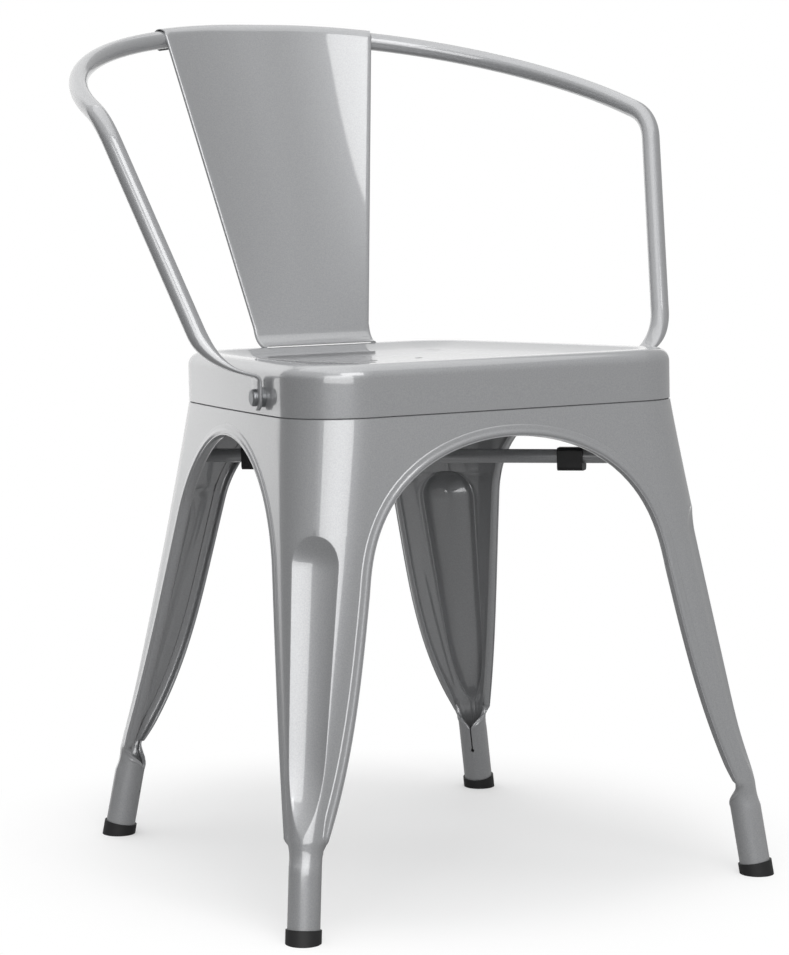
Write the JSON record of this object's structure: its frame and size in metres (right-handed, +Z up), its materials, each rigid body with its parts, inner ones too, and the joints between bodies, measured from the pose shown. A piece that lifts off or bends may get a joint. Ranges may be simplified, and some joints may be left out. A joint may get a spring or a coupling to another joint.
{
  "type": "metal armchair",
  "caption": "Stacking armchair of pressed sheet steel: fluted splayed legs with arches, dished seat, bent tube arm hoop and tapered back splat.",
  "frame": {"origin": "on the floor under the middle of the chair's bounding box", "axes": "+Z up, +Y towards the back of the chair, +X to the right of a person facing the chair's front from -Y"},
  "size_m": [0.5498, 0.51, 0.7159],
  "materials": {
    "silver_paint": "glossy",
    "black_rubber": "matte",
    "black_plastic": "matte",
    "plated_steel": "satin"
  },
  "bodies": {
    "root": {"seat_pan": "silver_paint", "arm_hoop": "silver_paint", "back_splat": "silver_paint", "brace_through_bar": "silver_paint", "brace_front_half_bar": "silver_paint", "brace_rear_half_bar": "silver_paint", "leg_front_right": "silver_paint", "foot_cap_front_right": "black_rubber", "stacking_clip_front_right": "black_plastic", "leg_front_left": "silver_paint", "foot_cap_front_left": "black_rubber", "stacking_clip_front_left": "black_plastic", "leg_rear_right": "silver_paint", "foot_cap_rear_right": "black_rubber", "stacking_clip_rear_right": "black_plastic", "leg_rear_left": "silver_paint", "foot_cap_rear_left": "black_rubber", "stacking_clip_rear_left": "black_plastic", "arm_spacer_right": "plated_steel", "arm_bolt_right": "plated_steel", "arm_nut_right": "plated_steel", "arm_spacer_left": "plated_steel", "arm_bolt_left": "plated_steel", "arm_nut_left": "plated_steel"}
  },
  "joints": []
}
